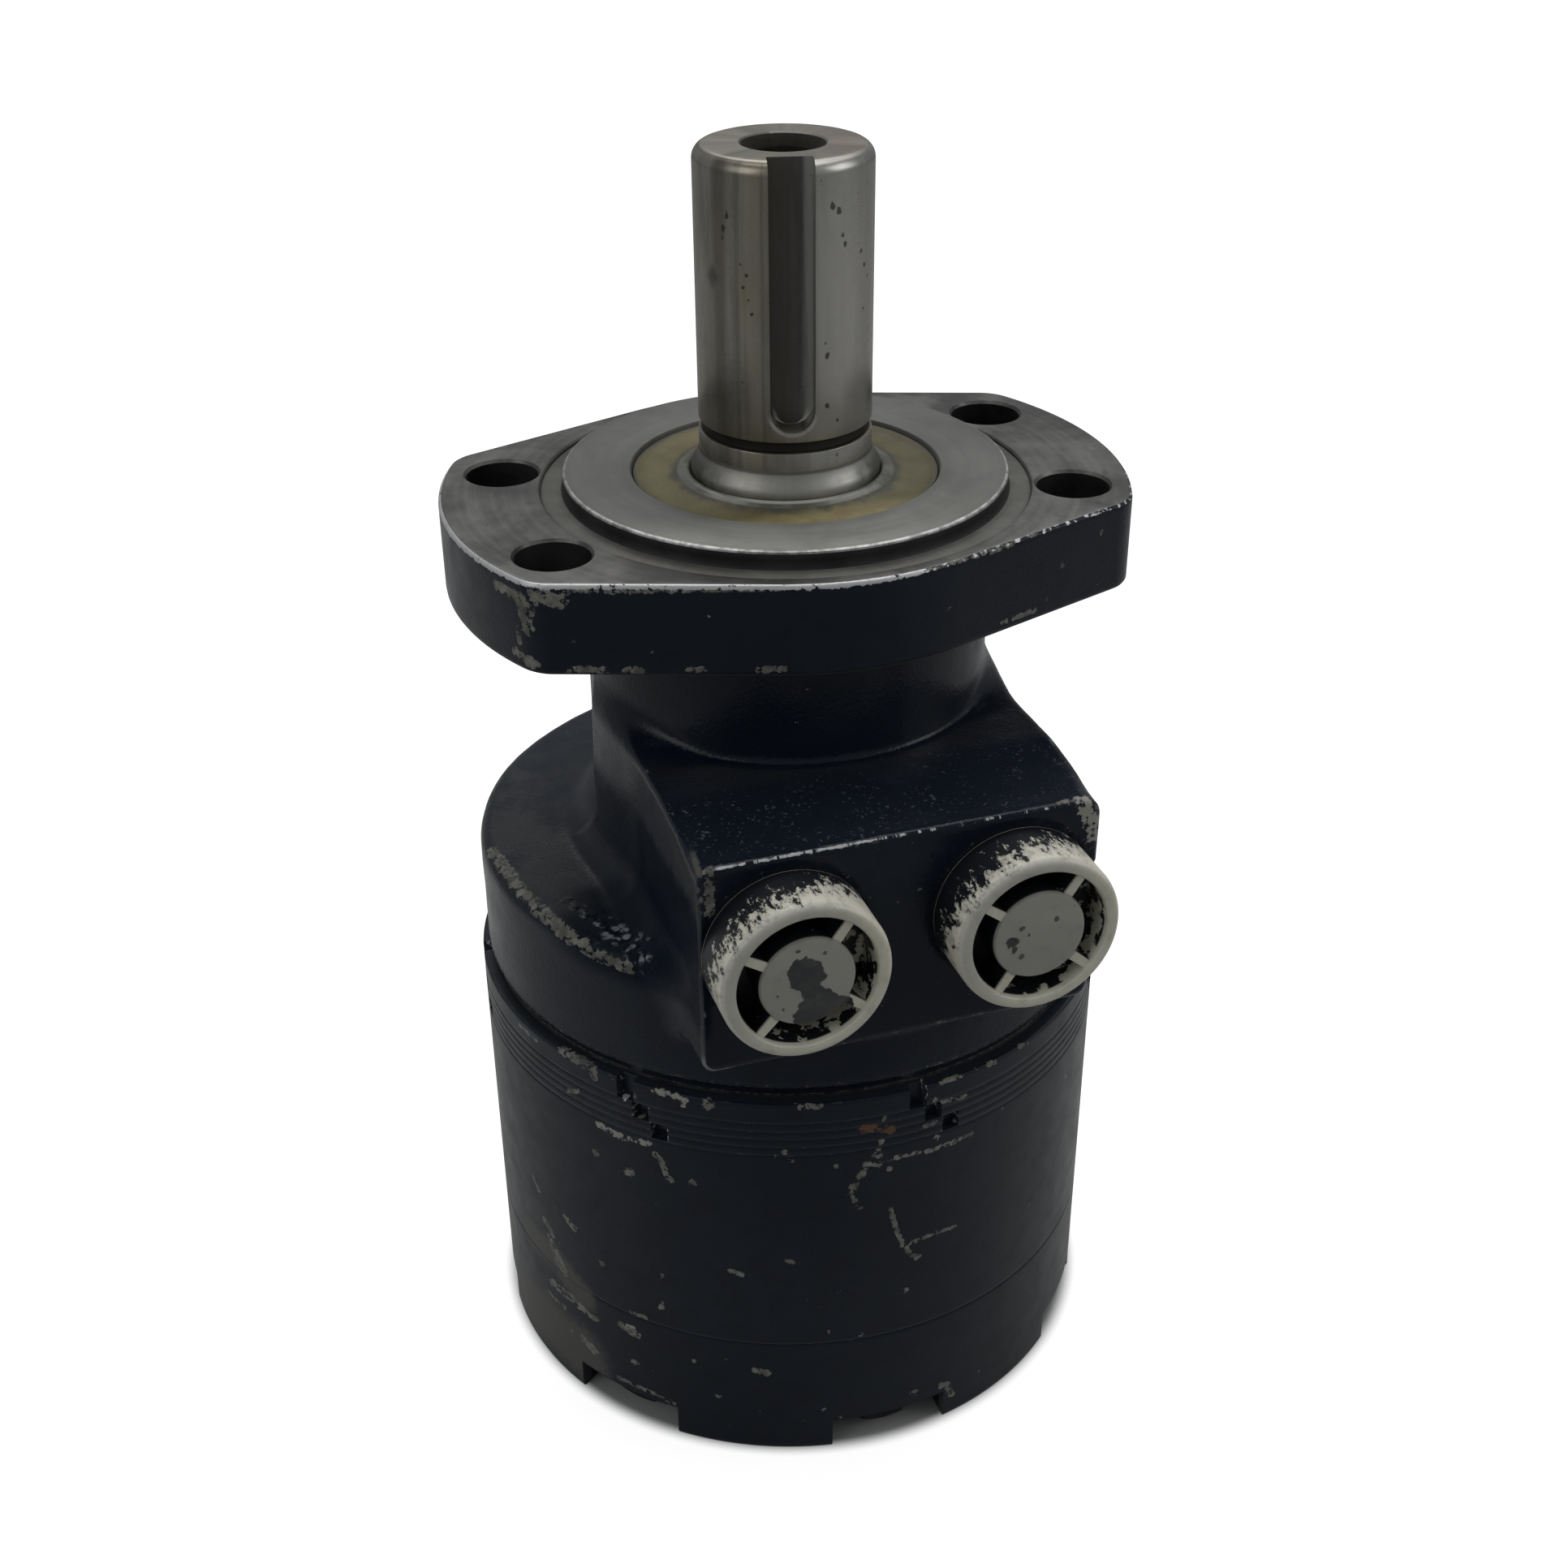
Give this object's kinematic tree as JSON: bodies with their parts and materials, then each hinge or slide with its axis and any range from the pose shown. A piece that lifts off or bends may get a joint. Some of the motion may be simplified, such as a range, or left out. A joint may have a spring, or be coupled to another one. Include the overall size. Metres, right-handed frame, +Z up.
{
  "type": "hydraulic motor",
  "caption": "Orbital hydraulic motor with an oval mounting flange, keyed output shaft, side port block with plastic port plugs, and a round bolted gear section.",
  "frame": {"origin": "centre of the end cover's flat rear face, which the motor stands on", "axes": "+Z up the output shaft, +X along the flange's long axis, -Y out of the port face"},
  "size_m": [0.128, 0.138, 0.2473],
  "materials": {
    "black_paint": "satin blue-black paint over cast iron, chipped on its edges",
    "ground_steel": "ground steel, lightly oiled and stained",
    "plain_steel": "plain machined steel",
    "bronze": "bronze-lined bearing sleeve",
    "black_steel": "black oxide",
    "khaki_rubber": "satin khaki rubber",
    "black_rubber": "matte",
    "ivory_plastic": "satin ivory plastic with black overspray"
  },
  "bodies": {
    "motor_body": {"housing": "black_paint", "dust_seal": "khaki_rubber", "seal_backup_washer": "plain_steel", "shaft_seal": "black_rubber", "front_bearing": "bronze", "rear_bearing": "bronze", "thrust_washer": "plain_steel", "thrust_bearing": "ground_steel", "port_plate": "black_paint", "manifold_plate_1": "black_paint", "manifold_plate_2": "black_paint", "manifold_plate_3": "black_paint", "manifold_plate_4": "black_paint", "stator_ring": "black_paint", "end_cover": "black_paint", "section_seal_1": "black_rubber", "section_seal_2": "black_rubber", "section_seal_3": "black_rubber", "cover_bolt_1": "black_steel", "cover_bolt_2": "black_steel", "cover_bolt_3": "black_steel", "cover_bolt_4": "black_steel", "cover_bolt_5": "black_steel", "cover_bolt_6": "black_steel", "cover_bolt_7": "black_steel"},
    "shaft": {"output_shaft": "ground_steel"},
    "drive_link": {"drive_link": "plain_steel"},
    "rotor": {"rotor": "ground_steel"},
    "roller_1": {"roller_1": "ground_steel"},
    "roller_2": {"roller_2": "ground_steel"},
    "roller_3": {"roller_3": "ground_steel"},
    "roller_4": {"roller_4": "ground_steel"},
    "roller_5": {"roller_5": "ground_steel"},
    "roller_6": {"roller_6": "ground_steel"},
    "roller_7": {"roller_7": "ground_steel"},
    "plug_left": {"port_plug_left": "ivory_plastic"},
    "plug_right": {"port_plug_right": "ivory_plastic"}
  },
  "joints": [
    {"name": "shaft_spin", "type": "hinge", "parent": "motor_body", "child": "shaft", "pos_m": [0, 0, 0.2], "axis": [0, 0, 1], "continuous": true},
    {"name": "link_orbit", "type": "hinge", "parent": "motor_body", "child": "drive_link", "pos_m": [0, 0, 0.053], "axis": [0, 0, 1], "continuous": true},
    {"name": "rotor_spin", "type": "hinge", "parent": "drive_link", "child": "rotor", "pos_m": [0, -0.0034, 0.053], "axis": [0, 0, 1], "continuous": true},
    {"name": "roller_1_spin", "type": "hinge", "parent": "motor_body", "child": "roller_1", "pos_m": [0.01866, -0.03874, 0.053], "axis": [0, 0, 1], "continuous": true},
    {"name": "roller_2_spin", "type": "hinge", "parent": "motor_body", "child": "roller_2", "pos_m": [0.04192, -0.00957, 0.053], "axis": [0, 0, 1], "continuous": true},
    {"name": "roller_3_spin", "type": "hinge", "parent": "motor_body", "child": "roller_3", "pos_m": [0.03362, 0.02681, 0.053], "axis": [0, 0, 1], "continuous": true},
    {"name": "roller_4_spin", "type": "hinge", "parent": "motor_body", "child": "roller_4", "pos_m": [0, 0.043, 0.053], "axis": [0, 0, 1], "continuous": true},
    {"name": "roller_5_spin", "type": "hinge", "parent": "motor_body", "child": "roller_5", "pos_m": [-0.03362, 0.02681, 0.053], "axis": [0, 0, 1], "continuous": true},
    {"name": "roller_6_spin", "type": "hinge", "parent": "motor_body", "child": "roller_6", "pos_m": [-0.04192, -0.00957, 0.053], "axis": [0, 0, 1], "continuous": true},
    {"name": "roller_7_spin", "type": "hinge", "parent": "motor_body", "child": "roller_7", "pos_m": [-0.01866, -0.03874, 0.053], "axis": [0, 0, 1], "continuous": true},
    {"name": "plug_left_pull", "type": "slide", "parent": "motor_body", "child": "plug_left", "axis": [0, -1, 0], "range_m": [0, 0.03]},
    {"name": "plug_right_pull", "type": "slide", "parent": "motor_body", "child": "plug_right", "axis": [0, -1, 0], "range_m": [0, 0.03]}
  ],
  "couplings": [
    {"joint": "link_orbit", "follows": "shaft_spin", "ratio": -6},
    {"joint": "rotor_spin", "follows": "shaft_spin", "ratio": 7},
    {"joint": "roller_1_spin", "follows": "shaft_spin", "ratio": -4.06},
    {"joint": "roller_2_spin", "follows": "shaft_spin", "ratio": -4.06},
    {"joint": "roller_3_spin", "follows": "shaft_spin", "ratio": -4.06},
    {"joint": "roller_4_spin", "follows": "shaft_spin", "ratio": -4.06},
    {"joint": "roller_5_spin", "follows": "shaft_spin", "ratio": -4.06},
    {"joint": "roller_6_spin", "follows": "shaft_spin", "ratio": -4.06},
    {"joint": "roller_7_spin", "follows": "shaft_spin", "ratio": -4.06}
  ]
}
